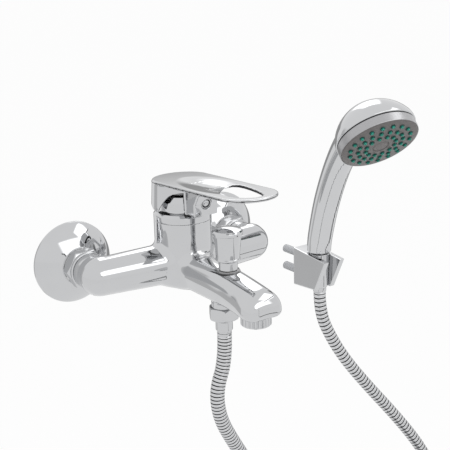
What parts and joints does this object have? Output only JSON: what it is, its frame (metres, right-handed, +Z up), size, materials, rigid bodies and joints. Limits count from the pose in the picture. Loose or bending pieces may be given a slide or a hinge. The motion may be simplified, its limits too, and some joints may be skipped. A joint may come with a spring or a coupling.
{
  "type": "wall-mounted bath mixer with hand shower",
  "caption": "Single-lever wall-mounted bath mixer with spout, pull-up diverter, ribbed hose, hand shower and wall bracket",
  "frame": {"origin": "on the finished wall, midway between the two water inlets", "axes": "+X to the right along the wall, +Y into the wall, +Z up"},
  "size_m": [0.412, 0.2039, 0.5408],
  "materials": {
    "chrome": "polished chrome plating on brass",
    "chromed_plastic": "polished chrome plating on plastic",
    "brass": "turned brass",
    "steel": "plain stainless steel",
    "dark_metal": "dark plated metal",
    "hose_metal": "chromed ribbed metal strip",
    "seal_rubber": "black rubber",
    "cartridge_plastic": "moulded plastic",
    "dark_plastic": "dark moulded plastic",
    "plug_plastic": "grey nylon",
    "ceramic": "lapped ceramic",
    "satin_ring": "satin grey plating",
    "face_plastic": "grey moulded plastic",
    "nozzle_silicone": "soft teal silicone"
  },
  "bodies": {
    "root": {"body_casting": "chrome", "s_union_left": "brass", "s_union_right": "brass", "flange_left": "chrome", "flange_right": "chrome", "union_nut_left": "chrome", "union_nut_right": "chrome", "union_washer_left": "seal_rubber", "union_washer_right": "seal_rubber", "inlet_tail_left": "brass", "inlet_tail_right": "brass", "cartridge_base": "cartridge_plastic", "cartridge_seals": "seal_rubber", "fixed_ceramic_disc": "ceramic", "cartridge_housing": "cartridge_plastic", "cartridge_nut": "brass", "dome_cover": "chrome", "diverter_bush": "dark_metal", "diverter_o_ring": "seal_rubber", "diverter_spring": "steel", "aerator_housing": "chrome", "aerator_insert": "dark_plastic", "aerator_washer": "seal_rubber", "shower_outlet_nipple": "chrome", "hose_nut_mixer": "chrome", "hose_washer_mixer": "seal_rubber", "hose_ferrule_mixer": "chrome", "hose_run_mixer": "hose_metal", "hose_run_lower": "hose_metal", "hose_coil": "hose_metal", "hose_run_handset": "hose_metal", "hose_tie": "dark_plastic", "bracket_body": "chromed_plastic", "bracket_screws": "steel", "bracket_wall_plugs": "plug_plastic"},
    "driver": {"cartridge_driver": "cartridge_plastic", "stem_pivot_pin": "steel"},
    "lever": {"lever": "chrome", "cartridge_stem": "steel", "lever_grub_screw": "steel", "lever_plug": "dark_plastic"},
    "disc": {"moving_ceramic_disc": "ceramic", "disc_holder": "cartridge_plastic"},
    "diverter": {"diverter_knob": "chrome", "diverter_spindle": "brass", "diverter_valve": "seal_rubber"},
    "hose_end": {"hose_cone_nut": "chromed_plastic", "hose_ferrule_handset": "chrome", "hose_washer_handset": "seal_rubber"},
    "handset": {"handset_body": "chromed_plastic", "handset_inner_tube": "cartridge_plastic", "handset_ring": "satin_ring", "face_plate": "face_plastic", "nozzle_mat": "nozzle_silicone", "face_cap": "face_plastic", "face_screw": "steel", "head_o_ring": "seal_rubber"}
  },
  "joints": [
    {"name": "lever_turn", "type": "hinge", "parent": "root", "child": "driver", "pos_m": [0, -0.06, 0.04], "axis": [0, 0, 1], "range_deg": [-50, 50]},
    {"name": "lever_tilt", "type": "hinge", "parent": "driver", "child": "lever", "pos_m": [0, -0.06, 0.04], "axis": [-1, 0, 0], "range_deg": [0, 20]},
    {"name": "disc_slide", "type": "slide", "parent": "driver", "child": "disc", "axis": [0, -1, 0], "range_m": [0, 0.0049]},
    {"name": "diverter_pull", "type": "slide", "parent": "root", "child": "diverter", "axis": [0, 0, 1], "range_m": [0, 0.008], "stiffness_N_per_m": 120, "springref_m": -0.005, "deforming": ["diverter_spring"]},
    {"name": "handset_lift", "type": "slide", "parent": "root", "child": "hose_end", "axis": [0, 0, 1], "range_m": [0, 0.06], "deforming": ["hose_run_handset"]},
    {"name": "handset_turn", "type": "hinge", "parent": "hose_end", "child": "handset", "pos_m": [0.1755, -0.0255, 0], "axis": [0, 0, 1], "range_deg": [-45, 45]}
  ],
  "couplings": [
    {"joint": "disc_slide", "follows": "lever_tilt", "m_per_rad": 0.014}
  ]
}
